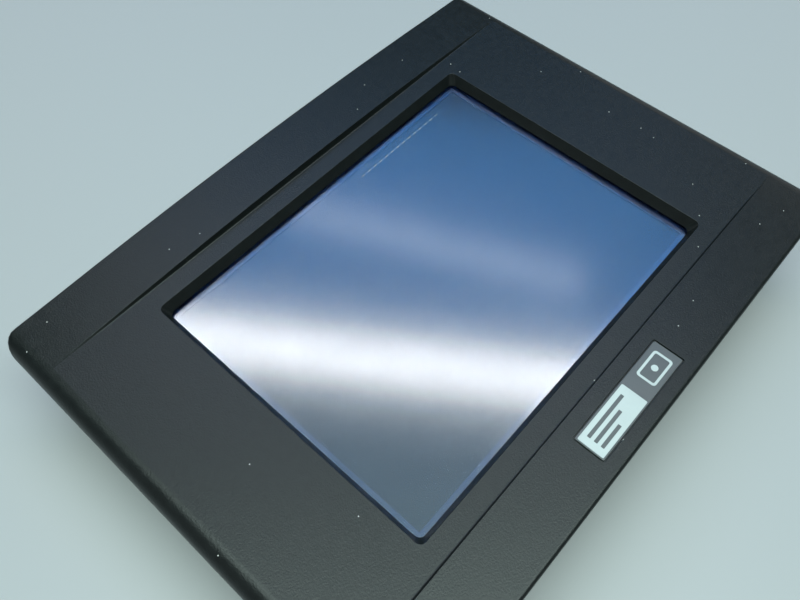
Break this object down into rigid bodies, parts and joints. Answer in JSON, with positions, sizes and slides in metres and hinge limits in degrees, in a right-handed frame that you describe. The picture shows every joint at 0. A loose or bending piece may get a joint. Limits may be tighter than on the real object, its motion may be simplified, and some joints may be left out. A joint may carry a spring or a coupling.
{
  "type": "operator touch panel",
  "caption": "Flat panel-mounted operator terminal: dark moulded bezel with crowned strips round a recessed touch screen, shallow metal housing behind with ports, card door and panel clamps.",
  "frame": {"origin": "on the back face, behind the middle of the screen; the lowest plane of the part", "axes": "+Z out of the screen, +X to the screen's right, +Y to the screen's top"},
  "size_m": [0.3476, 0.2568, 0.0623],
  "materials": {
    "black_moulding": "fine-textured moulding",
    "black_rubber": "closed-cell rubber",
    "screen_glass": "glossy hard-coated touch screen",
    "cell_dark": "dark polarised display cell, switched off",
    "clear_plastic": "clear moulded light guide",
    "lamp_white": "white coated lamp tube",
    "zinc_steel": "zinc-plated steel",
    "bright_steel": "nickel-plated steel",
    "black_paint": "black powder coat",
    "badge_print": "printed dark grey badge",
    "label_film": "silver label film, blank",
    "green_board": "green solder resist",
    "black_chip": "moulded component",
    "aluminium": "bare extruded aluminium",
    "green_terminal": "green terminal moulding",
    "ivory_plastic": "ivory moulded plastic",
    "orange_film": "flexible circuit film",
    "brass": "brass stud",
    "red_plastic": "red push button"
  },
  "bodies": {
    "terminal": {"front_bezel": "black_moulding", "nameplate": "badge_print", "panel_gasket": "black_rubber", "touch_glass": "screen_glass", "touch_seal": "black_rubber", "lcd_frame": "zinc_steel", "lcd_cell": "cell_dark", "light_guide": "clear_plastic", "lamp_upper": "lamp_white", "lamp_lower": "lamp_white", "lcd_tray": "ivory_plastic", "display_plate": "zinc_steel", "display_cable": "orange_film", "inverter_board": "green_board", "inverter_transformer": "black_chip", "main_board": "green_board", "processor": "black_chip", "heat_sink": "aluminium", "memory_socket": "ivory_plastic", "memory_module": "green_board", "battery_holder": "black_chip", "coin_cell": "bright_steel", "card_socket": "black_chip", "power_header": "green_terminal", "serial_port_a": "bright_steel", "serial_port_b": "bright_steel", "network_socket": "bright_steel", "usb_socket": "bright_steel", "earth_stud": "brass", "earth_nut": "bright_steel", "door_pin": "bright_steel", "rear_chassis": "black_paint", "rear_cover": "black_paint", "cover_screw_1": "bright_steel", "cover_screw_2": "bright_steel", "cover_screw_3": "bright_steel", "cover_screw_4": "bright_steel", "rating_plate": "label_film", "clamp_bracket_1": "zinc_steel", "clamp_bracket_2": "zinc_steel", "clamp_bracket_3": "zinc_steel", "clamp_bracket_4": "zinc_steel"},
    "card_door": {"card_door": "black_moulding"},
    "memory_card": {"memory_card": "black_chip"},
    "eject_button": {"eject_button": "black_moulding"},
    "power_plug": {"power_plug": "green_terminal"},
    "reset_button": {"reset_button": "red_plastic"},
    "mode_switch": {"mode_switch": "ivory_plastic"},
    "terminal_screw_1": {"terminal_screw_1": "bright_steel"},
    "terminal_screw_2": {"terminal_screw_2": "bright_steel"},
    "terminal_screw_3": {"terminal_screw_3": "bright_steel"},
    "clamp_pad_1": {"clamp_pad_1": "black_moulding"},
    "clamp_screw_1": {"clamp_screw_1": "bright_steel"},
    "clamp_pad_2": {"clamp_pad_2": "black_moulding"},
    "clamp_screw_2": {"clamp_screw_2": "bright_steel"},
    "clamp_pad_3": {"clamp_pad_3": "black_moulding"},
    "clamp_screw_3": {"clamp_screw_3": "bright_steel"},
    "clamp_pad_4": {"clamp_pad_4": "black_moulding"},
    "clamp_screw_4": {"clamp_screw_4": "bright_steel"}
  },
  "joints": [
    {"name": "card_door_hinge", "type": "hinge", "parent": "terminal", "child": "card_door", "pos_m": [0.158, -0.052, 0.0072], "axis": [0, 1, 0], "range_deg": [0, 100]},
    {"name": "card_slide", "type": "slide", "parent": "terminal", "child": "memory_card", "axis": [1, 0, 0], "range_m": [0, 0.005]},
    {"name": "eject_push", "type": "slide", "parent": "terminal", "child": "eject_button", "axis": [-1, 0, 0], "range_m": [0, 0.005]},
    {"name": "plug_pull", "type": "slide", "parent": "terminal", "child": "power_plug", "axis": [0, -1, 0], "range_m": [0, 0.012]},
    {"name": "reset_press", "type": "slide", "parent": "terminal", "child": "reset_button", "axis": [0, 1, 0], "range_m": [0, 0.0012], "stiffness_N_per_m": 400},
    {"name": "mode_slide", "type": "slide", "parent": "terminal", "child": "mode_switch", "axis": [1, 0, 0], "range_m": [-0.002, 0.002]},
    {"name": "terminal_screw_turn_1", "type": "hinge", "parent": "power_plug", "child": "terminal_screw_1", "pos_m": [-0.12308, -0.119, 0.0118], "axis": [0, 0, -1], "range_deg": [0, 1080]},
    {"name": "terminal_screw_turn_2", "type": "hinge", "parent": "power_plug", "child": "terminal_screw_2", "pos_m": [-0.118, -0.119, 0.0118], "axis": [0, 0, -1], "range_deg": [0, 1080]},
    {"name": "terminal_screw_turn_3", "type": "hinge", "parent": "power_plug", "child": "terminal_screw_3", "pos_m": [-0.11292, -0.119, 0.0118], "axis": [0, 0, -1], "range_deg": [0, 1080]},
    {"name": "clamp_slide_1", "type": "slide", "parent": "terminal", "child": "clamp_pad_1", "axis": [0, 0, 1], "range_m": [-0.003, 0.0048]},
    {"name": "clamp_screw_turn_1", "type": "hinge", "parent": "clamp_pad_1", "child": "clamp_screw_1", "pos_m": [-0.138, 0.1196, 0.012], "axis": [0, 0, 1], "range_deg": [-1545, 2470]},
    {"name": "clamp_slide_2", "type": "slide", "parent": "terminal", "child": "clamp_pad_2", "axis": [0, 0, 1], "range_m": [-0.003, 0.0048]},
    {"name": "clamp_screw_turn_2", "type": "hinge", "parent": "clamp_pad_2", "child": "clamp_screw_2", "pos_m": [0.138, 0.1196, 0.012], "axis": [0, 0, 1], "range_deg": [-1545, 2470]},
    {"name": "clamp_slide_3", "type": "slide", "parent": "terminal", "child": "clamp_pad_3", "axis": [0, 0, 1], "range_m": [-0.003, 0.0048]},
    {"name": "clamp_screw_turn_3", "type": "hinge", "parent": "clamp_pad_3", "child": "clamp_screw_3", "pos_m": [-0.138, -0.1196, 0.012], "axis": [0, 0, 1], "range_deg": [-1545, 2470]},
    {"name": "clamp_slide_4", "type": "slide", "parent": "terminal", "child": "clamp_pad_4", "axis": [0, 0, 1], "range_m": [-0.003, 0.0048]},
    {"name": "clamp_screw_turn_4", "type": "hinge", "parent": "clamp_pad_4", "child": "clamp_screw_4", "pos_m": [0.138, -0.1196, 0.012], "axis": [0, 0, 1], "range_deg": [-1545, 2470]}
  ],
  "couplings": [
    {"joint": "eject_push", "follows": "card_slide", "ratio": 1},
    {"joint": "clamp_screw_turn_1", "follows": "clamp_slide_1", "rad_per_m": 8976},
    {"joint": "clamp_screw_turn_2", "follows": "clamp_slide_2", "rad_per_m": 8976},
    {"joint": "clamp_screw_turn_3", "follows": "clamp_slide_3", "rad_per_m": 8976},
    {"joint": "clamp_screw_turn_4", "follows": "clamp_slide_4", "rad_per_m": 8976}
  ]
}
